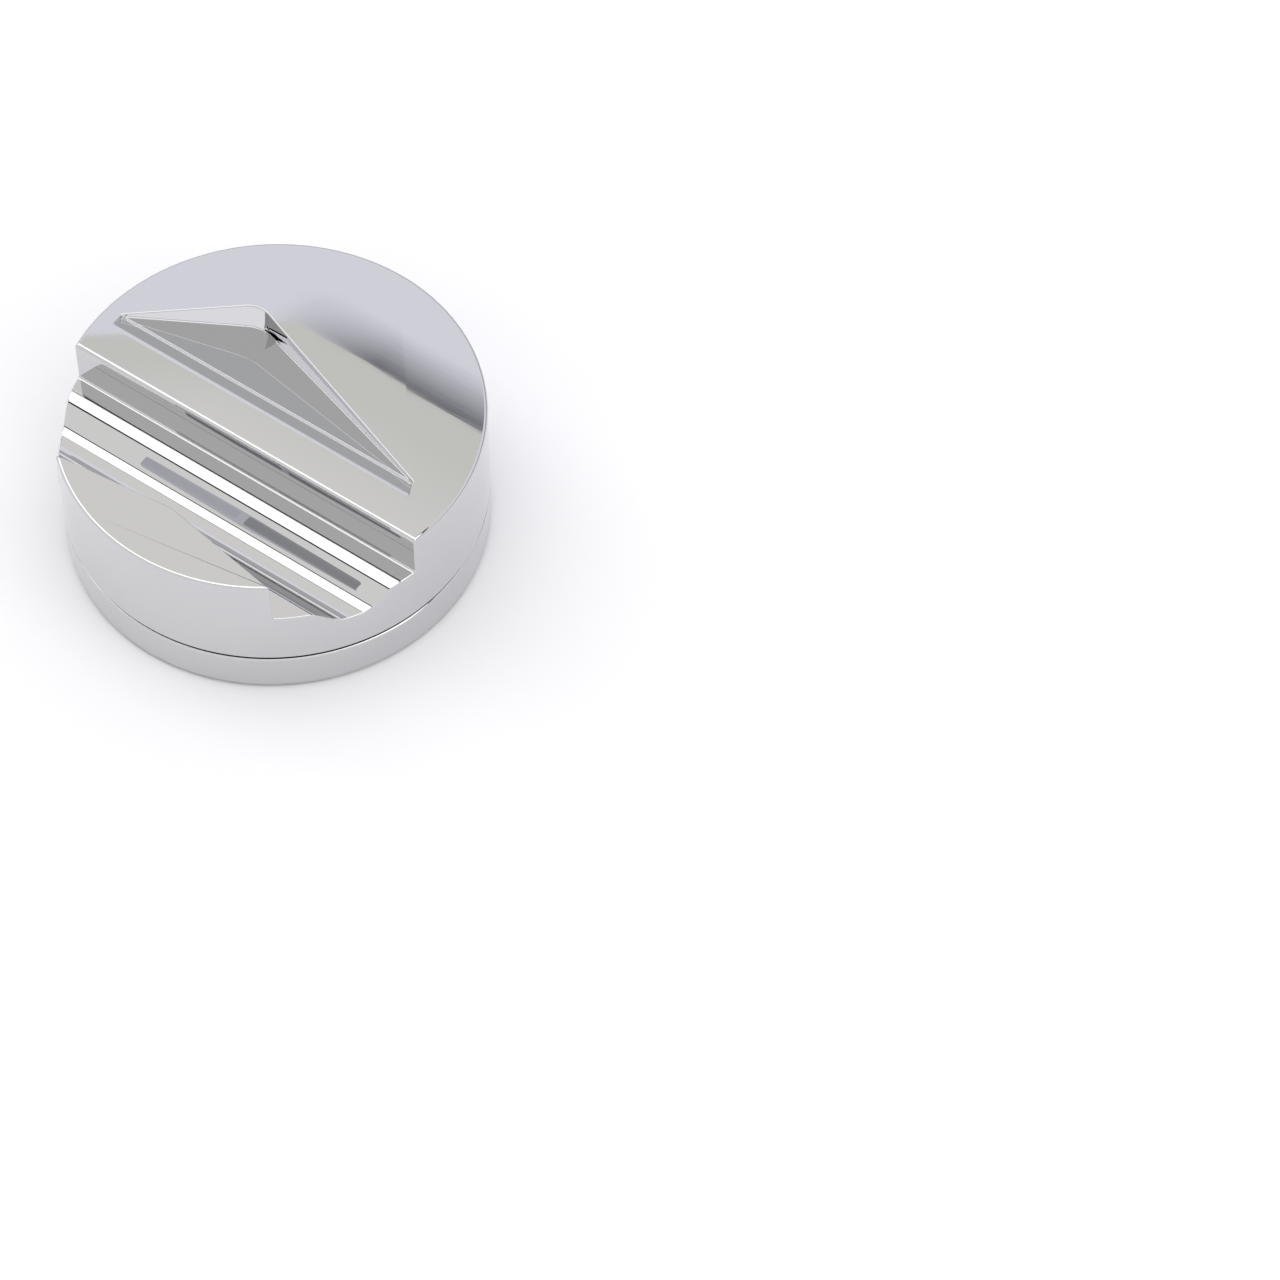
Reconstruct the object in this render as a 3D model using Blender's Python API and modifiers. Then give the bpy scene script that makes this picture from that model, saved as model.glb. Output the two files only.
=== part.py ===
"""Round chromed stand for a cartridge razor: a cast body, a base plate, a weight, screws and a foot pad.

Frame: metres, +Z up, origin at the centre of the resting face.
+X runs along the cartridge slot and +Y points away from the slot's open front.
"""

import math

import bmesh
import bpy
from mathutils import Vector

MM = 0.001

# Whole stand
RADIUS = 21.0 * MM
HEIGHT = 16.4 * MM
GAP = 0.3 * MM
STEPS = 96

# Seam between the body and the base plate
SEAM_Z = 4.8 * MM
BODY_BOTTOM = SEAM_Z + GAP / 2
PLATE_TOP = SEAM_Z - GAP / 2
PLATE_BOTTOM = 0.3 * MM
RIM_ROUND = 0.35 * MM
SEAM_ROUND = 0.2 * MM

# Foot pad in the plate's recess
PAD_RADIUS = 19.0 * MM
PAD_HEIGHT = 1.5 * MM
PAD_ROUND = 0.3 * MM
RECESS_RADIUS = PAD_RADIUS + GAP
RECESS_TOP = PAD_HEIGHT + GAP

# Weight in the body's socket
WEIGHT_RADIUS = 13.0 * MM
WEIGHT_BOTTOM = PLATE_TOP + GAP
WEIGHT_TOP = 7.6 * MM
WEIGHT_ROUND = 0.3 * MM
SOCKET_RADIUS = WEIGHT_RADIUS + GAP
SOCKET_TOP = WEIGHT_TOP + GAP

# Countersunk screws that hold the plate to the body
SCREW_CIRCLE = 16.4 * MM
SCREW_ANGLES = (90.0, 210.0, 330.0)
SCREW_SHANK = 1.25 * MM
SCREW_HEAD = 2.3 * MM
HEAD_BOTTOM = RECESS_TOP + 0.05 * MM
HEAD_EDGE = 0.3 * MM
HEAD_HEIGHT = 1.4 * MM
SCREW_TOP = 8.3 * MM
SCREW_TIP = 0.4 * MM
HOLE_TOP = SCREW_TOP + GAP
DRIVE_LENGTH = 2.4 * MM
DRIVE_WIDTH = 0.5 * MM
DRIVE_DEPTH = 0.8 * MM
SCREW_STEPS = 32

# Cartridge slot in the YZ plane: an upright back wall, a level ledge, a channel and a front ledge
SLOT_BACK = -4.47 * MM
SLOT_FLOOR = HEIGHT - 4.93 * MM
SLOT_TOP_ROUND = 0.45 * MM
SLOT_CREASE_ROUND = 0.3 * MM
LEDGE_EDGE = -7.2 * MM
LEDGE_ROUND = 2.8 * MM
CHANNEL_BACK = -9.3 * MM
CHANNEL_FRONT = -11.9 * MM
CHANNEL_FLOOR = 9.5 * MM
CHANNEL_ROUND = 2.2 * MM
FRONT_LEDGE_EDGE = -14.1 * MM
FRONT_LEDGE_ROUND = 0.5 * MM

# The slot's front wall in the XY plane, with a blunt corner
SLOT_CORNER = (-0.6 * MM, -14.5 * MM)
SLOT_CORNER_ROUND = 3.0 * MM
SLOT_RIGHT = (23.0 * MM, -19.05 * MM)
SLOT_LEFT = (-23.0 * MM, -17.25 * MM)

# Pocket behind the slot: its outline in the XY plane and its floor, which slopes down to the back
POCKET_LEFT = (-19.1 * MM, 1.2 * MM)
POCKET_CORNER = (-8.8 * MM, 9.9 * MM)
POCKET_RIGHT = (16.2 * MM, 1.2 * MM)
POCKET_CORNER_ROUND = 2.6 * MM
POCKET_EDGE = -0.3 * MM
POCKET_EDGE_ROUND = 2.0 * MM
POCKET_SLOPE = math.tan(math.radians(20.0))
POCKET_END = 16.8 * MM
CREASE_Y = 1.2 * MM
CREASE_STEP = 0.15 * MM
CREASE_ROUND = 0.06 * MM

ARC_SEGMENTS = 6
CORNER_SEGMENTS = 8

OVERRUN = 4.0 * MM


def material(name, colour, metallic, roughness):
    """A plain Principled material."""
    made = bpy.data.materials.new(name)
    made.use_nodes = True
    shader = made.node_tree.nodes["Principled BSDF"]
    shader.inputs["Base Color"].default_value = (*colour, 1.0)
    shader.inputs["Metallic"].default_value = metallic
    shader.inputs["Roughness"].default_value = roughness
    return made


def new_object(name, mesh, collection):
    """An object that holds this mesh, in this collection."""
    made = bpy.data.objects.new(name, mesh)
    collection.objects.link(made)
    return made


def turned(name, profile, steps, collection):
    """A solid of revolution about Z from (radius, height) points, from the top down the outer side."""
    mesh = bpy.data.meshes.new(name)
    points = [(radius, 0.0, height) for radius, height in profile]
    edges = [(i, i + 1) for i in range(len(points) - 1)]
    mesh.from_pydata(points, edges, [])
    made = new_object(name, mesh, collection)
    screw = made.modifiers.new("turn", "SCREW")
    screw.axis = "Z"
    screw.angle = math.tau
    screw.steps = steps
    screw.render_steps = steps
    screw.use_merge_vertices = True
    screw.merge_threshold = 0.00001
    return made


def rounded(centre, radius, start, end, count):
    """Points along an arc in the (radius, height) plane, by angles in degrees."""
    points = []
    for i in range(count + 1):
        angle = math.radians(start + (end - start) * i / count)
        points.append((centre[0] + radius * math.cos(angle), centre[1] + radius * math.sin(angle)))
    return points


def corner_arc(before, corner, after, radius, segments):
    """Points that round the corner of a flat outline."""
    corner = Vector(corner)
    back = (Vector(before) - corner).normalized()
    ahead = (Vector(after) - corner).normalized()
    half = back.angle(ahead) / 2
    reach = radius / math.tan(half)
    centre = corner + (back + ahead).normalized() * (radius / math.sin(half))
    first = corner + back * reach - centre
    last = corner + ahead * reach - centre
    sweep = first.angle_signed(last)
    points = []
    for i in range(segments + 1):
        angle = -sweep * i / segments
        turn = Vector((
            first.x * math.cos(angle) - first.y * math.sin(angle),
            first.x * math.sin(angle) + first.y * math.cos(angle),
        ))
        points.append(tuple(centre + turn))
    return points


def eased(points, segments):
    """An outline through (across, up, radius) points, with an arc of that radius at each inner corner."""
    outline = [points[0][:2]]
    for before, corner, after in zip(points, points[1:], points[2:]):
        if corner[2]:
            outline += corner_arc(before[:2], corner[:2], after[:2], corner[2], segments)
        else:
            outline.append(corner[:2])
    outline.append(points[-1][:2])
    return outline


def prism(name, outline, low, high, place, collection):
    """A straight solid between two levels; place(a, b, level) turns outline points into 3-D points."""
    shape = bmesh.new()
    first = [shape.verts.new(place(a, b, low)) for a, b in outline]
    last = [shape.verts.new(place(a, b, high)) for a, b in outline]
    shape.faces.new(first)
    shape.faces.new(last)
    for i in range(len(outline)):
        j = (i + 1) % len(outline)
        shape.faces.new((first[i], first[j], last[j], last[i]))
    bmesh.ops.recalc_face_normals(shape, faces=shape.faces)
    mesh = bpy.data.meshes.new(name)
    shape.to_mesh(mesh)
    shape.free()
    return new_object(name, mesh, collection)


def upright(a, b, level):
    """Places an outline drawn in the XY plane."""
    return (a, b, level)


def along_x(a, b, level):
    """Places an outline drawn in the YZ plane."""
    return (level, a, b)


def combine(target, cutter, operation="DIFFERENCE"):
    """Cuts the target with the cutter, or keeps only what both share."""
    step = target.modifiers.new("cut_" + cutter.name, "BOOLEAN")
    step.operation = operation
    step.solver = "EXACT"
    step.object = cutter
    cutter.hide_render = True
    cutter.display_type = "WIRE"


def screw_places():
    """The centres of the screws in the XY plane."""
    places = []
    for degrees in SCREW_ANGLES:
        angle = math.radians(degrees)
        places.append((SCREW_CIRCLE * math.cos(angle), SCREW_CIRCLE * math.sin(angle)))
    return places


def make_slot(cutters):
    """What the cartridge slot takes away: its profile along X, ended by the front wall."""
    top = HEIGHT + OVERRUN
    edge = (SLOT_BACK + SLOT_TOP_ROUND, HEIGHT - SLOT_TOP_ROUND)
    profile = [(edge[0], top)]
    profile += rounded(edge, SLOT_TOP_ROUND, 90, 180, ARC_SEGMENTS)[:-1]
    profile += eased(
        [
            (SLOT_BACK, edge[1], 0.0),
            (SLOT_BACK, SLOT_FLOOR, SLOT_CREASE_ROUND),
            (LEDGE_EDGE, SLOT_FLOOR, LEDGE_ROUND),
            (CHANNEL_BACK, CHANNEL_FLOOR, CHANNEL_ROUND),
            (CHANNEL_FRONT, CHANNEL_FLOOR, CHANNEL_ROUND),
            (FRONT_LEDGE_EDGE, SLOT_FLOOR, FRONT_LEDGE_ROUND),
            (-RADIUS, SLOT_FLOOR, 0.0),
            (-RADIUS, top, 0.0),
        ],
        ARC_SEGMENTS,
    )
    slot = prism("slot_cutter", profile, SLOT_LEFT[0], SLOT_RIGHT[0], along_x, cutters)

    outline = [(SLOT_LEFT[0] - OVERRUN, 0.0), (SLOT_LEFT[0] - OVERRUN, SLOT_LEFT[1])]
    outline += corner_arc(SLOT_LEFT, SLOT_CORNER, SLOT_RIGHT, SLOT_CORNER_ROUND, CORNER_SEGMENTS)
    outline += [(SLOT_RIGHT[0] + OVERRUN, SLOT_RIGHT[1]), (SLOT_RIGHT[0] + OVERRUN, 0.0)]
    plan = prism("slot_plan", outline, 0.0, HEIGHT + 2 * OVERRUN, upright, cutters)
    combine(slot, plan, "INTERSECT")
    return slot


def make_pocket(cutters):
    """What the pocket takes away: its sloping floor along X, ended by its outline."""
    top = HEIGHT + OVERRUN
    back = POCKET_CORNER[1] + OVERRUN
    crease = HEIGHT - (CREASE_Y - POCKET_EDGE) * POCKET_SLOPE
    lifted = crease + CREASE_STEP
    profile = [(POCKET_EDGE - OVERRUN / 4, top)]
    profile += eased(
        [
            (POCKET_EDGE - OVERRUN / 4, HEIGHT, 0.0),
            (POCKET_EDGE, HEIGHT, POCKET_EDGE_ROUND),
            (CREASE_Y, crease, CREASE_ROUND),
            (CREASE_Y + CREASE_STEP, lifted, CREASE_ROUND),
            (back, lifted - (back - CREASE_Y) * POCKET_SLOPE, 0.0),
            (back, top, 0.0),
        ],
        ARC_SEGMENTS,
    )
    pocket = prism("pocket_cutter", profile, -RADIUS - OVERRUN, RADIUS + OVERRUN, along_x, cutters)

    outline = [POCKET_LEFT]
    outline += corner_arc(POCKET_LEFT, POCKET_CORNER, POCKET_RIGHT, POCKET_CORNER_ROUND, CORNER_SEGMENTS)
    outline += [
        POCKET_RIGHT,
        (POCKET_END, POCKET_EDGE),
        (POCKET_END, POCKET_EDGE - OVERRUN),
        (POCKET_LEFT[0], POCKET_EDGE - OVERRUN),
    ]
    plan = prism("pocket_plan", outline, 0.0, HEIGHT + 2 * OVERRUN, upright, cutters)
    combine(pocket, plan, "INTERSECT")
    return pocket


def make_body(parts, cutters):
    """The chromed body: a round block with the slot, the pocket, the socket and the screw holes."""
    profile = [(0.0, HEIGHT)]
    profile += rounded((RADIUS - RIM_ROUND, HEIGHT - RIM_ROUND), RIM_ROUND, 90, 0, 4)
    profile += rounded((RADIUS - SEAM_ROUND, BODY_BOTTOM + SEAM_ROUND), SEAM_ROUND, 0, -90, 3)
    profile += [
        (SOCKET_RADIUS, BODY_BOTTOM),
        (SOCKET_RADIUS, SOCKET_TOP),
        (0.0, SOCKET_TOP),
    ]
    body = turned("stand_body", profile, STEPS, parts)

    combine(body, make_slot(cutters))
    combine(body, make_pocket(cutters))

    for i, (x, y) in enumerate(screw_places()):
        hole_radius = SCREW_SHANK + GAP
        hole = turned(
            "hole_cutter_%d" % (i + 1),
            [(0.0, HOLE_TOP), (hole_radius, HOLE_TOP), (hole_radius, 0.0), (0.0, 0.0)],
            SCREW_STEPS,
            cutters,
        )
        hole.location = (x, y, 0.0)
        combine(body, hole)
    return body


def make_plate(parts, cutters):
    """The chromed plate that closes the body from below."""
    profile = [(0.0, PLATE_TOP)]
    profile += rounded((RADIUS - SEAM_ROUND, PLATE_TOP - SEAM_ROUND), SEAM_ROUND, 90, 0, 3)
    profile += rounded((RADIUS - RIM_ROUND, PLATE_BOTTOM + RIM_ROUND), RIM_ROUND, 0, -90, 3)
    profile += [
        (RECESS_RADIUS, PLATE_BOTTOM),
        (RECESS_RADIUS, RECESS_TOP),
        (0.0, RECESS_TOP),
    ]
    plate = turned("base_plate", profile, STEPS, parts)
    head = SCREW_HEAD + GAP
    shank = SCREW_SHANK + GAP
    cone_bottom = HEAD_BOTTOM + HEAD_EDGE + GAP / 2
    cone_top = HEAD_BOTTOM + HEAD_HEIGHT + GAP / 2
    for i, (x, y) in enumerate(screw_places()):
        sink = turned(
            "sink_cutter_%d" % (i + 1),
            [
                (0.0, PLATE_TOP + OVERRUN),
                (shank, PLATE_TOP + OVERRUN),
                (shank, cone_top),
                (head, cone_bottom),
                (head, 0.0),
                (0.0, 0.0),
            ],
            SCREW_STEPS,
            cutters,
        )
        sink.location = (x, y, 0.0)
        combine(plate, sink)
    return plate


def make_weight(parts):
    """The steel disc that gives the stand its weight."""
    profile = [(0.0, WEIGHT_TOP)]
    edge = WEIGHT_RADIUS - WEIGHT_ROUND
    profile += rounded((edge, WEIGHT_TOP - WEIGHT_ROUND), WEIGHT_ROUND, 90, 0, 2)
    profile += rounded((edge, WEIGHT_BOTTOM + WEIGHT_ROUND), WEIGHT_ROUND, 0, -90, 2)
    profile += [(0.0, WEIGHT_BOTTOM)]
    return turned("weight_disc", profile, STEPS, parts)


def make_pad(parts):
    """The soft pad that the stand rests on."""
    profile = [(0.0, PAD_HEIGHT), (PAD_RADIUS, PAD_HEIGHT)]
    profile += rounded((PAD_RADIUS - PAD_ROUND, PAD_ROUND), PAD_ROUND, 0, -90, 3)
    profile += [(0.0, 0.0)]
    return turned("foot_pad", profile, STEPS, parts)


def make_screws(parts, cutters):
    """The countersunk screws, heads down."""
    made = []
    for i, (x, y) in enumerate(screw_places()):
        screw = turned(
            "screw_%d" % (i + 1),
            [
                (0.0, SCREW_TOP),
                (SCREW_SHANK - SCREW_TIP, SCREW_TOP),
                (SCREW_SHANK, SCREW_TOP - SCREW_TIP),
                (SCREW_SHANK, HEAD_BOTTOM + HEAD_HEIGHT),
                (SCREW_HEAD, HEAD_BOTTOM + HEAD_EDGE),
                (SCREW_HEAD, HEAD_BOTTOM),
                (0.0, HEAD_BOTTOM),
            ],
            SCREW_STEPS,
            parts,
        )
        screw.location = (x, y, 0.0)
        for j in range(2):
            half_long = DRIVE_LENGTH / 2
            half_wide = DRIVE_WIDTH / 2
            if j == 1:
                half_long, half_wide = half_wide, half_long
            drive = prism(
                "drive_cutter_%d_%d" % (i + 1, j + 1),
                [
                    (x - half_long, y - half_wide),
                    (x + half_long, y - half_wide),
                    (x + half_long, y + half_wide),
                    (x - half_long, y + half_wide),
                ],
                HEAD_BOTTOM - OVERRUN,
                HEAD_BOTTOM + DRIVE_DEPTH,
                upright,
                cutters,
            )
            combine(screw, drive)
        made.append(screw)
    return made


def main():
    for old in list(bpy.data.objects):
        bpy.data.objects.remove(old, do_unlink=True)

    parts = bpy.data.collections.new("razor_stand")
    cutters = bpy.data.collections.new("cutters")
    bpy.context.scene.collection.children.link(parts)
    bpy.context.scene.collection.children.link(cutters)

    body = make_body(parts, cutters)
    body.data.materials.append(material("body_chrome", (0.78, 0.78, 0.79), 1.0, 0.05))
    plate = make_plate(parts, cutters)
    plate.data.materials.append(material("plate_chrome", (0.76, 0.76, 0.77), 1.0, 0.06))
    weight = make_weight(parts)
    weight.data.materials.append(material("weight_steel", (0.35, 0.35, 0.36), 1.0, 0.45))
    pad = make_pad(parts)
    pad.data.materials.append(material("pad_rubber", (0.03, 0.03, 0.03), 0.0, 0.8))
    for i, screw in enumerate(make_screws(parts, cutters)):
        screw.data.materials.append(material("screw_steel_%d" % (i + 1), (0.55, 0.55, 0.56), 1.0, 0.3))


main()
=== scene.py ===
"""Looks for the razor stand: polished chrome, soft studio surroundings and the camera."""

import math

import bmesh
import bpy
from mathutils import Matrix, Vector


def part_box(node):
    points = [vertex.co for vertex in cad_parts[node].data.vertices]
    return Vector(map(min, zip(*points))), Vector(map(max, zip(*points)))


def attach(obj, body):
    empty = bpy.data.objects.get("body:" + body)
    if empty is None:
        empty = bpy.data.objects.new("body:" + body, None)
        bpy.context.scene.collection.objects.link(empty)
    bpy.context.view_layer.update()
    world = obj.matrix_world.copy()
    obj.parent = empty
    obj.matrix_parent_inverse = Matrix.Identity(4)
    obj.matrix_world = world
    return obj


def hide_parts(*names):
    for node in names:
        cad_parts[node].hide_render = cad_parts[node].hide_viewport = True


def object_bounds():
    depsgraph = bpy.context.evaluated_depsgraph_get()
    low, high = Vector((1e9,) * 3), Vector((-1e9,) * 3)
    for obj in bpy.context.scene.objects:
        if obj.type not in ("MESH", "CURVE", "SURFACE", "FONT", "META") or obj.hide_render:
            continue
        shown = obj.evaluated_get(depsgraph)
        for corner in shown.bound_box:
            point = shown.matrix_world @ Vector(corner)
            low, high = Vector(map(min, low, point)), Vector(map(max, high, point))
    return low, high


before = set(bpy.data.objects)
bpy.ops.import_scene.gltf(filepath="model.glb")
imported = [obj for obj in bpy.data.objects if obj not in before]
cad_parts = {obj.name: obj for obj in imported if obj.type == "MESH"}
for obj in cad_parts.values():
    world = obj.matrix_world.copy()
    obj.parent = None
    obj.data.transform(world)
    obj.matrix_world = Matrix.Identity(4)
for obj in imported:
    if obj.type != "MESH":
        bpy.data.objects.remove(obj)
CAD_LOW, CAD_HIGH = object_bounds()

MM = 0.001
HEIGHT = CAD_HIGH.z
RADIUS = CAD_HIGH.x

# Sizes from here to the pocket's are those of the CAD model
BODY_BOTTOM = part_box("stand_body")[0].z
PLATE_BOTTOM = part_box("base_plate")[0].z
PLATE_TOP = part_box("base_plate")[1].z
WEIGHT_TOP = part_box("weight_disc")[1].z
WEIGHT_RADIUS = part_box("weight_disc")[1].x
PAD_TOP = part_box("foot_pad")[1].z
PAD_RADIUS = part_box("foot_pad")[1].x
GAP = 0.3 * MM
RIM_ROUND = 0.35 * MM
SEAM_ROUND = 0.2 * MM

# Holes for the countersunk screws, which stand heads down
SCREW_NODES = ("screw_1", "screw_2", "screw_3")
SCREW_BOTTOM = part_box("screw_1")[0].z
SCREW_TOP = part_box("screw_1")[1].z
SCREW_SHANK = 1.25 * MM
SCREW_HEAD = 2.3 * MM
HEAD_EDGE = 0.3 * MM
HEAD_HEIGHT = 1.4 * MM

# Cartridge slot in the YZ plane: an upright back wall, a level ledge, a channel and a front ledge
SLOT_BACK = -4.47 * MM
SLOT_FLOOR = HEIGHT - 4.93 * MM
SLOT_TOP_ROUND = 0.45 * MM
SLOT_CREASE_ROUND = 0.3 * MM
LEDGE_EDGE = -7.2 * MM
LEDGE_ROUND = 2.8 * MM
CHANNEL_BACK = -9.3 * MM
CHANNEL_FRONT = -11.9 * MM
CHANNEL_FLOOR = 9.5 * MM
CHANNEL_ROUND = 2.2 * MM
FRONT_LEDGE_EDGE = -14.1 * MM
FRONT_LEDGE_ROUND = 0.5 * MM

# The slot's front wall in the XY plane, with a blunt corner
SLOT_CORNER = (-0.6 * MM, -14.5 * MM)
SLOT_CORNER_ROUND = 3.0 * MM
SLOT_RIGHT = (23.0 * MM, -19.05 * MM)
SLOT_LEFT = (-23.0 * MM, -17.25 * MM)

# Pocket behind the slot: its outline in the XY plane and its floor, which slopes down to the back
POCKET_LEFT = (-19.1 * MM, 1.2 * MM)
POCKET_CORNER = (-8.8 * MM, 9.9 * MM)
POCKET_RIGHT = (16.2 * MM, 1.2 * MM)
POCKET_CORNER_ROUND = 2.6 * MM
POCKET_EDGE = -0.3 * MM
POCKET_EDGE_ROUND = 2.0 * MM
POCKET_SLOPE = math.tan(math.radians(20.0))
POCKET_END = 16.8 * MM
CREASE_Y = 1.2 * MM
CREASE_STEP = 0.15 * MM
CREASE_ROUND = 0.06 * MM

# How finely curves are cut, and how far the cutters reach past the body
FINE_STEPS = 288
HOLE_STEPS = 48
TOP_SEGMENTS = 6
SEAM_SEGMENTS = 4
FOOT_SEGMENTS = 5
ARC_SEGMENTS = 10
CORNER_SEGMENTS = 24
OVERRUN = 4.0 * MM

# Meshes: how close points are joined, how flat faces are merged and how sharp edges are rounded
TURN_JOIN = 0.01 * MM
POINT_JOIN = 0.002 * MM
FLAT_ANGLE = 0.05
EDGE_ROUND = 0.12 * MM
EDGE_SEGMENTS = 3
EDGE_ANGLE = 35.0
FLAT_WEIGHT = 50

# The camera, in stand radii and degrees
CAMERA_PLACE = Vector((9.27, -10.486, 19.039))
CAMERA_HEADING = 35.07
CAMERA_PITCH = 54.32
CAMERA_LENS = 140.6
CAMERA_SENSOR = 36.0
CAMERA_SHIFT = (0.0231, -0.068)
CAMERA_NEAR = 0.01
CAMERA_FAR = 50.0

# Colours and finish; the scales of noise are in features per metre
CHROME = (0.60, 0.60, 0.612)
CHROME_ROUGHNESS = (0.008, 0.022)
HAZE_RANGE = (0.3, 0.8)
HAZE_SCALE = 180.0
HAZE_DETAIL = 4.0
POLISH_STRETCH = (0.06, 1.0, 1.0)
POLISH_SCALE = 2600.0
POLISH_DETAIL = 3.0
POLISH_STRENGTH = 0.004
POLISH_DEPTH = 0.02 * MM
RUBBER_DARK = (0.018, 0.018, 0.019, 1.0)
RUBBER_LIGHT = (0.045, 0.045, 0.045, 1.0)
RUBBER_ROUGHNESS = 0.82
RUBBER_GRAIN = 4000.0
RUBBER_STRENGTH = 0.4
RUBBER_DEPTH = 0.05 * MM
STEEL_STRETCH = (0.1, 1.0, 1.0)
STEEL_MARKS = 1800.0
# Steel: darkest grey, lightest grey, roughness
WEIGHT_STEEL = (0.25, 0.4, 0.45)
SCREW_STEEL = (0.45, 0.6, 0.3)
FLOOR_COLOUR = (0.84, 0.84, 0.855, 1.0)
FLOOR_ROUGHNESS = 0.9
FLOOR_REACH = 60 * RADIUS

# The studio's bands, by the angle in the YZ plane in degrees: 0 is the back horizon and 90 is overhead.
# Between a band's two angles the colour before it blends into its own.
FAR_GREY = (0.58, 0.585, 0.59)
BACK_SWEEP = (1.04, 1.04, 1.12)
DARK_EDGE = (0.24, 0.24, 0.27)
WALL_NEAR = (0.87, 0.865, 0.82)
WALL_FAR = (0.98, 0.97, 0.93)
BLACK_GAP = (0.03, 0.03, 0.03)
SOFTBOX = (1.9, 1.9, 1.92)
ROOM = (0.98, 0.975, 0.95)
STUDIO_BANDS = (
    (30.0, 36.0, BACK_SWEEP),
    (58.45, 59.0, DARK_EDGE),
    (59.03, 59.06, WALL_NEAR),
    (59.5, 60.6, WALL_FAR),
    (65.9, 66.2, BLACK_GAP),
    (68.0, 68.4, SOFTBOX),
    (112.0, 112.6, BLACK_GAP),
    (117.0, 117.6, ROOM),
)

# By the share of X in Z: where every band begins and stops turning upwards, by how many degrees,
# and where the dark edge begins and stops fading in
SWEEP_TURN = (-0.520, -0.572)
SWEEP_RISE = 1.8
BORDER_FADE = (-0.527, -0.495)


def rounded(centre, radius, start, end, count):
    """Points along an arc in the (radius, height) plane, by angles in degrees."""
    points = []
    for i in range(count + 1):
        angle = math.radians(start + (end - start) * i / count)
        points.append((centre[0] + radius * math.cos(angle), centre[1] + radius * math.sin(angle)))
    return points


def corner_arc(before, corner, after, radius, segments):
    """Points that round the corner of a flat outline."""
    corner = Vector(corner)
    back = (Vector(before) - corner).normalized()
    ahead = (Vector(after) - corner).normalized()
    half = back.angle(ahead) / 2
    reach = radius / math.tan(half)
    centre = corner + (back + ahead).normalized() * (radius / math.sin(half))
    first = corner + back * reach - centre
    last = corner + ahead * reach - centre
    sweep = first.angle_signed(last)
    return [
        tuple(centre + Matrix.Rotation(-sweep * i / segments, 2) @ first)
        for i in range(segments + 1)
    ]


def new_object(name, mesh):
    """An object that holds this mesh."""
    made = bpy.data.objects.new(name, mesh)
    bpy.context.scene.collection.objects.link(made)
    return made


def turned(name, profile, steps):
    """A solid of revolution about Z from (radius, height) points, from the top down the outer side."""
    mesh = bpy.data.meshes.new(name)
    points = [(radius, 0.0, height) for radius, height in profile]
    mesh.from_pydata(points, [(i, i + 1) for i in range(len(points) - 1)], [])
    made = new_object(name, mesh)
    screw = made.modifiers.new("turn", "SCREW")
    screw.axis = "Z"
    screw.angle = math.tau
    screw.steps = steps
    screw.render_steps = steps
    screw.use_merge_vertices = True
    screw.merge_threshold = TURN_JOIN
    return made


def eased(points, segments):
    """An outline through (across, up, radius) points, with an arc of that radius at each inner corner."""
    outline = [points[0][:2]]
    for before, corner, after in zip(points, points[1:], points[2:]):
        if corner[2]:
            outline += corner_arc(before[:2], corner[:2], after[:2], corner[2], segments)
        else:
            outline.append(corner[:2])
    outline.append(points[-1][:2])
    return outline


def prism(name, outline, low, high, place):
    """A straight solid between two levels; place(a, b, level) turns outline points into 3-D points."""
    shape = bmesh.new()
    first = [shape.verts.new(place(a, b, low)) for a, b in outline]
    last = [shape.verts.new(place(a, b, high)) for a, b in outline]
    shape.faces.new(first)
    shape.faces.new(last)
    for i in range(len(outline)):
        j = (i + 1) % len(outline)
        shape.faces.new((first[i], first[j], last[j], last[i]))
    bmesh.ops.recalc_face_normals(shape, faces=shape.faces)
    mesh = bpy.data.meshes.new(name)
    shape.to_mesh(mesh)
    shape.free()
    return new_object(name, mesh)


def upright(a, b, level):
    """Places an outline drawn in the XY plane."""
    return (a, b, level)


def along_x(a, b, level):
    """Places an outline drawn in the YZ plane."""
    return (level, a, b)


def combine(target, cutter, operation="DIFFERENCE"):
    """Cuts the target with the cutter, or keeps only what both share."""
    step = target.modifiers.new("cut_" + cutter.name, "BOOLEAN")
    step.operation = operation
    step.solver = "EXACT"
    step.object = cutter


def settle(target, cutters):
    """Applies the target's modifiers, removes the cutters and joins points and faces that nearly match."""
    bpy.context.view_layer.update()
    graph = bpy.context.evaluated_depsgraph_get()
    mesh = bpy.data.meshes.new_from_object(target.evaluated_get(graph))
    target.modifiers.clear()
    target.data = mesh
    for cutter in cutters:
        bpy.data.objects.remove(cutter, do_unlink=True)
    shape = bmesh.new()
    shape.from_mesh(mesh)
    bmesh.ops.remove_doubles(shape, verts=shape.verts, dist=POINT_JOIN)
    flat = math.radians(FLAT_ANGLE)
    bmesh.ops.dissolve_limit(shape, angle_limit=flat, verts=shape.verts, edges=shape.edges)
    for face in shape.faces:
        face.smooth = True
    shape.to_mesh(mesh)
    shape.free()


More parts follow.
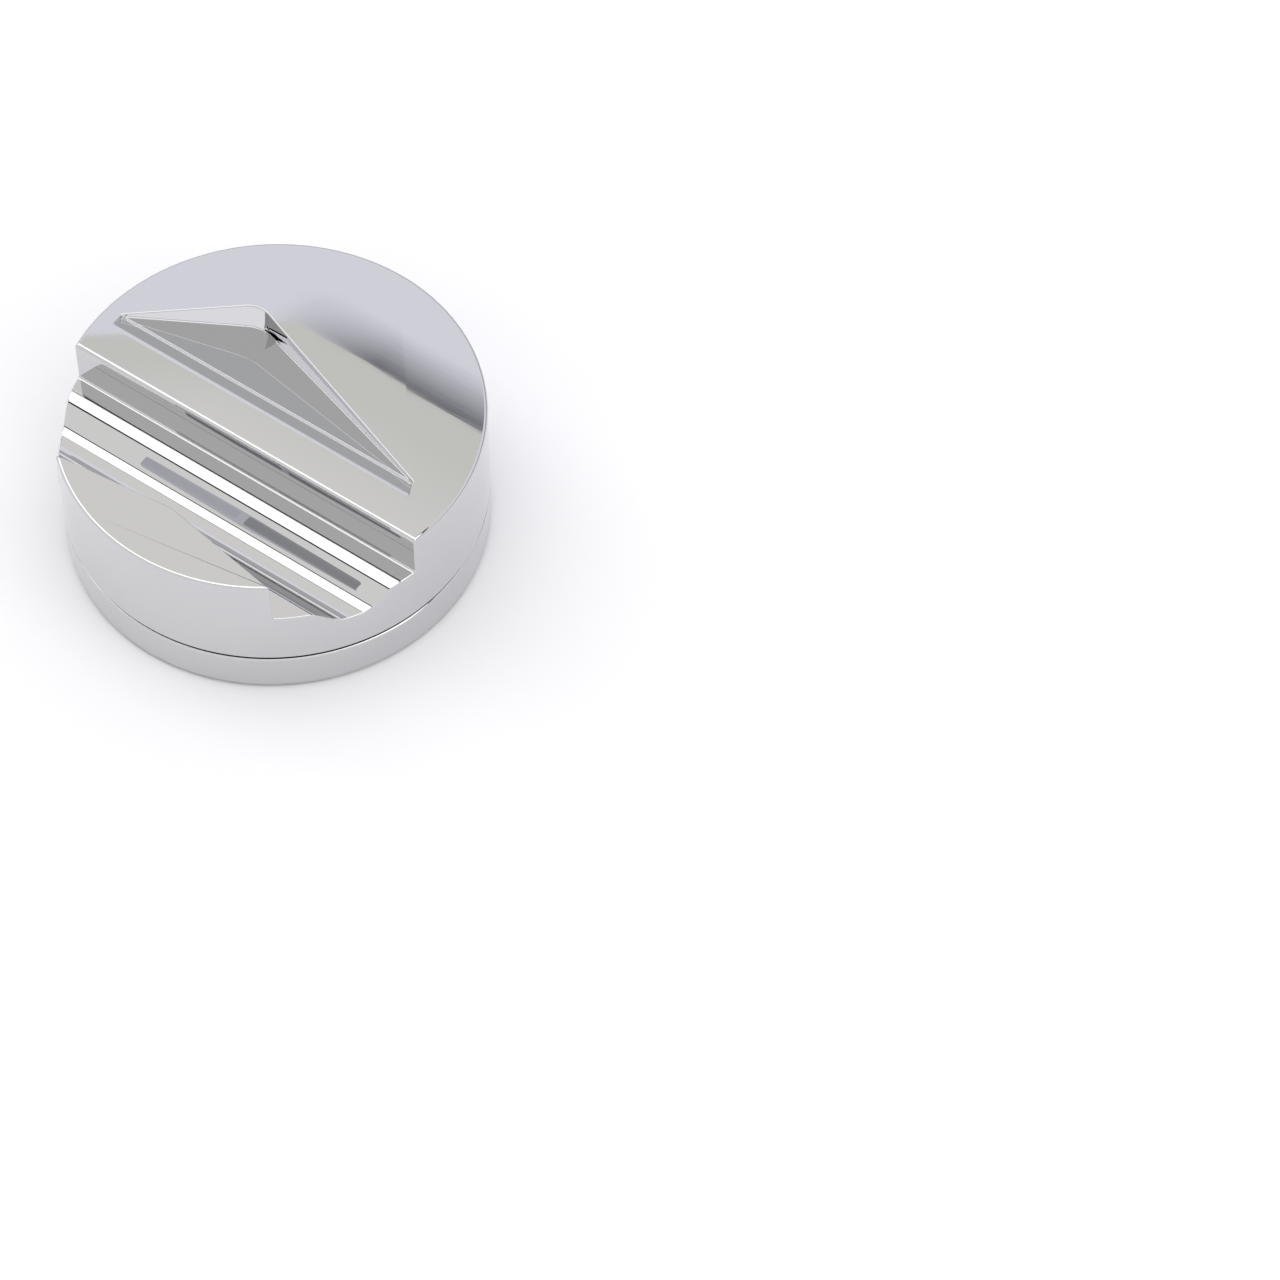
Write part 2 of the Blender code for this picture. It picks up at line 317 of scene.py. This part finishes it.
def soften_edges(target):
    """Rounds the sharp edges as a polishing wheel does, within the CAD model's height."""
    step = target.modifiers.new("soft_edges", "BEVEL")
    step.width = EDGE_ROUND
    step.segments = EDGE_SEGMENTS
    step.limit_method = "ANGLE"
    step.angle_limit = math.radians(EDGE_ANGLE)
    step.miter_outer = "MITER_ARC"
    step.use_clamp_overlap = False
    graph = bpy.context.evaluated_depsgraph_get()
    mesh = bpy.data.meshes.new_from_object(target.evaluated_get(graph))
    target.modifiers.clear()
    target.data = mesh
    for point in mesh.vertices:
        point.co.z = min(point.co.z, HEIGHT)
    flats = target.modifiers.new("flat_faces", "WEIGHTED_NORMAL")
    flats.mode = "FACE_AREA"
    flats.weight = FLAT_WEIGHT


def make_slot():
    """What the cartridge slot takes away: its profile along X, ended by the front wall."""
    top = HEIGHT + OVERRUN
    edge = (SLOT_BACK + SLOT_TOP_ROUND, HEIGHT - SLOT_TOP_ROUND)
    profile = [(edge[0], top)]
    profile += rounded(edge, SLOT_TOP_ROUND, 90, 180, ARC_SEGMENTS)[:-1]
    profile += eased(
        [
            (SLOT_BACK, edge[1], 0.0),
            (SLOT_BACK, SLOT_FLOOR, SLOT_CREASE_ROUND),
            (LEDGE_EDGE, SLOT_FLOOR, LEDGE_ROUND),
            (CHANNEL_BACK, CHANNEL_FLOOR, CHANNEL_ROUND),
            (CHANNEL_FRONT, CHANNEL_FLOOR, CHANNEL_ROUND),
            (FRONT_LEDGE_EDGE, SLOT_FLOOR, FRONT_LEDGE_ROUND),
            (-RADIUS, SLOT_FLOOR, 0.0),
            (-RADIUS, top, 0.0),
        ],
        ARC_SEGMENTS,
    )
    slot = prism("slot_cutter", profile, SLOT_LEFT[0], SLOT_RIGHT[0], along_x)

    outline = [(SLOT_LEFT[0] - OVERRUN, 0.0), (SLOT_LEFT[0] - OVERRUN, SLOT_LEFT[1])]
    outline += corner_arc(SLOT_LEFT, SLOT_CORNER, SLOT_RIGHT, SLOT_CORNER_ROUND, CORNER_SEGMENTS)
    outline += [(SLOT_RIGHT[0] + OVERRUN, SLOT_RIGHT[1]), (SLOT_RIGHT[0] + OVERRUN, 0.0)]
    plan = prism("slot_plan", outline, 0.0, HEIGHT + 2 * OVERRUN, upright)
    combine(slot, plan, "INTERSECT")
    return slot, plan


def make_pocket():
    """What the pocket takes away: its sloping floor along X, ended by its outline."""
    top = HEIGHT + OVERRUN
    back = POCKET_CORNER[1] + OVERRUN
    crease = HEIGHT - (CREASE_Y - POCKET_EDGE) * POCKET_SLOPE
    lifted = crease + CREASE_STEP
    profile = [(POCKET_EDGE - OVERRUN / 4, top)]
    profile += eased(
        [
            (POCKET_EDGE - OVERRUN / 4, HEIGHT, 0.0),
            (POCKET_EDGE, HEIGHT, POCKET_EDGE_ROUND),
            (CREASE_Y, crease, CREASE_ROUND),
            (CREASE_Y + CREASE_STEP, lifted, CREASE_ROUND),
            (back, lifted - (back - CREASE_Y) * POCKET_SLOPE, 0.0),
            (back, top, 0.0),
        ],
        ARC_SEGMENTS,
    )
    pocket = prism("pocket_cutter", profile, -RADIUS - OVERRUN, RADIUS + OVERRUN, along_x)

    outline = [POCKET_LEFT]
    outline += corner_arc(POCKET_LEFT, POCKET_CORNER, POCKET_RIGHT, POCKET_CORNER_ROUND, CORNER_SEGMENTS)
    outline += [
        POCKET_RIGHT,
        (POCKET_END, POCKET_EDGE),
        (POCKET_END, POCKET_EDGE - OVERRUN),
        (POCKET_LEFT[0], POCKET_EDGE - OVERRUN),
    ]
    plan = prism("pocket_plan", outline, 0.0, HEIGHT + 2 * OVERRUN, upright)
    combine(pocket, plan, "INTERSECT")
    return pocket, plan


def screw_cutters(label, profile):
    """One cutter of this profile round each screw."""
    cutters = []
    for node in SCREW_NODES:
        low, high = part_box(node)
        cutter = turned(label + node, profile, HOLE_STEPS)
        cutter.location = ((low.x + high.x) / 2, (low.y + high.y) / 2, 0.0)
        cutters.append(cutter)
    return cutters


def make_holes():
    """Plain holes in the body for the screws' shanks."""
    shank = SCREW_SHANK + GAP
    top = SCREW_TOP + GAP
    return screw_cutters("hole_", [(0.0, top), (shank, top), (shank, 0.0), (0.0, 0.0)])


def make_sinks():
    """Sinks in the plate for the screws' heads, with through holes for their shanks."""
    head = SCREW_HEAD + GAP
    shank = SCREW_SHANK + GAP
    cone_bottom = SCREW_BOTTOM + HEAD_EDGE + GAP / 2
    cone_top = SCREW_BOTTOM + HEAD_HEIGHT + GAP / 2
    profile = [
        (0.0, SCREW_TOP),
        (shank, SCREW_TOP),
        (shank, cone_top),
        (head, cone_bottom),
        (head, 0.0),
        (0.0, 0.0),
    ]
    return screw_cutters("sink_", profile)


def make_body():
    """The chromed body with its slot, channel, pocket, socket and screw holes."""
    profile = [(0.0, HEIGHT)]
    profile += rounded((RADIUS - RIM_ROUND, HEIGHT - RIM_ROUND), RIM_ROUND, 90, 0, TOP_SEGMENTS)
    seam = (RADIUS - SEAM_ROUND, BODY_BOTTOM + SEAM_ROUND)
    profile += rounded(seam, SEAM_ROUND, 0, -90, SEAM_SEGMENTS)
    socket = WEIGHT_RADIUS + GAP
    profile += [(socket, BODY_BOTTOM), (socket, WEIGHT_TOP + GAP), (0.0, WEIGHT_TOP + GAP)]
    body = turned("polished_body", profile, FINE_STEPS)

    slot, slot_plan = make_slot()
    pocket, pocket_plan = make_pocket()
    holes = make_holes()
    for cutter in [slot, pocket, *holes]:
        combine(body, cutter)
    settle(body, [slot, pocket, slot_plan, pocket_plan, *holes])
    soften_edges(body)
    return body


def make_plate():
    """The chromed base plate with the pad's recess and the screws' sinks."""
    profile = [(0.0, PLATE_TOP)]
    seam = (RADIUS - SEAM_ROUND, PLATE_TOP - SEAM_ROUND)
    profile += rounded(seam, SEAM_ROUND, 90, 0, SEAM_SEGMENTS)
    foot = (RADIUS - RIM_ROUND, PLATE_BOTTOM + RIM_ROUND)
    profile += rounded(foot, RIM_ROUND, 0, -90, FOOT_SEGMENTS)
    recess = PAD_RADIUS + GAP
    profile += [(recess, PLATE_BOTTOM), (recess, PAD_TOP + GAP), (0.0, PAD_TOP + GAP)]
    plate = turned("polished_plate", profile, FINE_STEPS)
    sinks = make_sinks()
    for cutter in sinks:
        combine(plate, cutter)
    settle(plate, sinks)
    soften_edges(plate)
    return plate


class Nodes:
    """A material's node tree, with short ways to add and join nodes."""

    def __init__(self, name):
        self.material = bpy.data.materials.new(name)
        self.material.use_nodes = True
        self.tree = self.material.node_tree
        self.shader = self.tree.nodes["Principled BSDF"]

    def add(self, kind):
        return self.tree.nodes.new(kind)

    def join(self, source, target):
        self.tree.links.new(source, target)


def chrome(name):
    """Polished chrome with a faint uneven haze and tiny polishing marks."""
    n = Nodes(name)
    n.shader.inputs["Base Color"].default_value = (*CHROME, 1.0)
    n.shader.inputs["Metallic"].default_value = 1.0
    place = n.add("ShaderNodeTexCoord")

    haze = n.add("ShaderNodeTexNoise")
    haze.inputs["Scale"].default_value = HAZE_SCALE
    haze.inputs["Detail"].default_value = HAZE_DETAIL
    n.join(place.outputs["Object"], haze.inputs["Vector"])
    rough = n.add("ShaderNodeMapRange")
    rough.inputs["From Min"].default_value = HAZE_RANGE[0]
    rough.inputs["From Max"].default_value = HAZE_RANGE[1]
    rough.inputs["To Min"].default_value = CHROME_ROUGHNESS[0]
    rough.inputs["To Max"].default_value = CHROME_ROUGHNESS[1]
    n.join(haze.outputs["Fac"], rough.inputs["Value"])
    n.join(rough.outputs["Result"], n.shader.inputs["Roughness"])

    stretch = n.add("ShaderNodeMapping")
    stretch.inputs["Scale"].default_value = POLISH_STRETCH
    n.join(place.outputs["Object"], stretch.inputs["Vector"])
    marks = n.add("ShaderNodeTexNoise")
    marks.inputs["Scale"].default_value = POLISH_SCALE
    marks.inputs["Detail"].default_value = POLISH_DETAIL
    n.join(stretch.outputs["Vector"], marks.inputs["Vector"])
    bump = n.add("ShaderNodeBump")
    bump.inputs["Strength"].default_value = POLISH_STRENGTH
    bump.inputs["Distance"].default_value = POLISH_DEPTH
    n.join(marks.outputs["Fac"], bump.inputs["Height"])
    n.join(bump.outputs["Normal"], n.shader.inputs["Normal"])
    return n.material


def rubber():
    """Matt black rubber with a fine moulded grain."""
    n = Nodes("foot_rubber")
    n.shader.inputs["Roughness"].default_value = RUBBER_ROUGHNESS
    place = n.add("ShaderNodeTexCoord")
    grain = n.add("ShaderNodeTexNoise")
    grain.inputs["Scale"].default_value = RUBBER_GRAIN
    n.join(place.outputs["Object"], grain.inputs["Vector"])
    shade = n.add("ShaderNodeValToRGB")
    shade.color_ramp.elements[0].color = RUBBER_DARK
    shade.color_ramp.elements[1].color = RUBBER_LIGHT
    n.join(grain.outputs["Fac"], shade.inputs["Fac"])
    n.join(shade.outputs["Color"], n.shader.inputs["Base Color"])
    bump = n.add("ShaderNodeBump")
    bump.inputs["Strength"].default_value = RUBBER_STRENGTH
    bump.inputs["Distance"].default_value = RUBBER_DEPTH
    n.join(grain.outputs["Fac"], bump.inputs["Height"])
    n.join(bump.outputs["Normal"], n.shader.inputs["Normal"])
    return n.material


def steel(name, low, high, roughness):
    """Plain steel with cutting marks, between two greys."""
    n = Nodes(name)
    n.shader.inputs["Metallic"].default_value = 1.0
    n.shader.inputs["Roughness"].default_value = roughness
    place = n.add("ShaderNodeTexCoord")
    stretch = n.add("ShaderNodeMapping")
    stretch.inputs["Scale"].default_value = STEEL_STRETCH
    n.join(place.outputs["Object"], stretch.inputs["Vector"])
    marks = n.add("ShaderNodeTexNoise")
    marks.inputs["Scale"].default_value = STEEL_MARKS
    n.join(stretch.outputs["Vector"], marks.inputs["Vector"])
    shade = n.add("ShaderNodeValToRGB")
    shade.color_ramp.elements[0].color = (low, low, low, 1.0)
    shade.color_ramp.elements[1].color = (high, high, high, 1.0)
    n.join(marks.outputs["Fac"], shade.inputs["Fac"])
    n.join(shade.outputs["Color"], n.shader.inputs["Base Color"])
    return n.material


def dress(target, look):
    """Gives the object this one material."""
    target.data.materials.clear()
    target.data.materials.append(look)


def make_world():
    """Soft studio surroundings as bands of light and dark cloth."""
    world = bpy.data.worlds.new("studio")
    bpy.context.scene.world = world
    world.use_nodes = True
    tree = world.node_tree
    tree.nodes.clear()
    place = tree.nodes.new("ShaderNodeTexCoord")
    parts = tree.nodes.new("ShaderNodeSeparateXYZ")
    tree.links.new(place.outputs["Generated"], parts.inputs["Vector"])
    angle = tree.nodes.new("ShaderNodeMath")
    angle.operation = "ARCTAN2"
    tree.links.new(parts.outputs["Z"], angle.inputs[0])
    tree.links.new(parts.outputs["Y"], angle.inputs[1])

    # To the far left the bands turn upwards and the sweep's dark edge fades out
    side = tree.nodes.new("ShaderNodeMath")
    side.operation = "DIVIDE"
    tree.links.new(parts.outputs["X"], side.inputs[0])
    tree.links.new(parts.outputs["Z"], side.inputs[1])
    rise = tree.nodes.new("ShaderNodeMapRange")
    rise.inputs["From Min"].default_value = SWEEP_TURN[0]
    rise.inputs["From Max"].default_value = SWEEP_TURN[1]
    rise.inputs["To Max"].default_value = math.radians(SWEEP_RISE)
    tree.links.new(side.outputs["Value"], rise.inputs["Value"])
    turned_angle = tree.nodes.new("ShaderNodeMath")
    turned_angle.operation = "SUBTRACT"
    tree.links.new(angle.outputs["Value"], turned_angle.inputs[0])
    tree.links.new(rise.outputs["Result"], turned_angle.inputs[1])
    fade = tree.nodes.new("ShaderNodeMapRange")
    fade.inputs["From Min"].default_value = BORDER_FADE[0]
    fade.inputs["From Max"].default_value = BORDER_FADE[1]
    tree.links.new(side.outputs["Value"], fade.inputs["Value"])

    colour = tree.nodes.new("ShaderNodeRGB").outputs["Color"]
    colour.default_value = (*FAR_GREY, 1.0)
    for start, end, after in STUDIO_BANDS:
        share = tree.nodes.new("ShaderNodeMapRange")
        share.inputs["From Min"].default_value = math.radians(start)
        share.inputs["From Max"].default_value = math.radians(end)
        tree.links.new(turned_angle.outputs["Value"], share.inputs["Value"])
        mix = tree.nodes.new("ShaderNodeMixRGB")
        tree.links.new(share.outputs["Result"], mix.inputs["Fac"])
        if after is DARK_EDGE:
            tree.links.new(fade.outputs["Result"], share.inputs["To Max"])
        tree.links.new(colour, mix.inputs["Color1"])
        mix.inputs["Color2"].default_value = (*after, 1.0)
        colour = mix.outputs["Color"]
    light = tree.nodes.new("ShaderNodeBackground")
    tree.links.new(colour, light.inputs["Color"])
    out = tree.nodes.new("ShaderNodeOutputWorld")
    tree.links.new(light.outputs["Background"], out.inputs["Surface"])


def make_floor():
    """A plain pale floor."""
    far = FLOOR_REACH
    mesh = bpy.data.meshes.new("floor")
    corners = [(-far, -far, 0.0), (far, -far, 0.0), (far, far, 0.0), (-far, far, 0.0)]
    mesh.from_pydata(corners, [], [(0, 1, 2, 3)])
    floor = new_object("floor", mesh)
    n = Nodes("white_paper")
    n.shader.inputs["Base Color"].default_value = FLOOR_COLOUR
    n.shader.inputs["Roughness"].default_value = FLOOR_ROUGHNESS
    n.shader.inputs["Specular IOR Level"].default_value = 0.0
    dress(floor, n.material)


def make_camera():
    """The camera, looking down on the stand from its front right."""
    data = bpy.data.cameras.new("camera")
    data.lens = CAMERA_LENS
    data.sensor_width = CAMERA_SENSOR
    data.shift_x, data.shift_y = CAMERA_SHIFT
    data.clip_start = CAMERA_NEAR
    data.clip_end = CAMERA_FAR
    camera = bpy.data.objects.new("camera", data)
    bpy.context.scene.collection.objects.link(camera)
    camera.location = CAMERA_PLACE * RADIUS
    tilt = math.radians(90.0 - CAMERA_PITCH)
    camera.rotation_euler = (tilt, 0.0, math.radians(CAMERA_HEADING))
    bpy.context.scene.camera = camera


def main():
    body = make_body()
    dress(body, chrome("body_mirror"))
    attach(body, "root")
    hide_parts("stand_body")

    plate = make_plate()
    dress(plate, chrome("plate_mirror"))
    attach(plate, "root")
    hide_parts("base_plate")

    dress(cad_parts["weight_disc"], steel("weight_steel", *WEIGHT_STEEL))
    dress(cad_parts["foot_pad"], rubber())
    screw_look = steel("screw_steel", *SCREW_STEEL)
    for node in SCREW_NODES:
        dress(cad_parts[node], screw_look)

    make_world()
    make_floor()
    make_camera()
    bpy.context.scene.view_settings.view_transform = "Standard"


main()
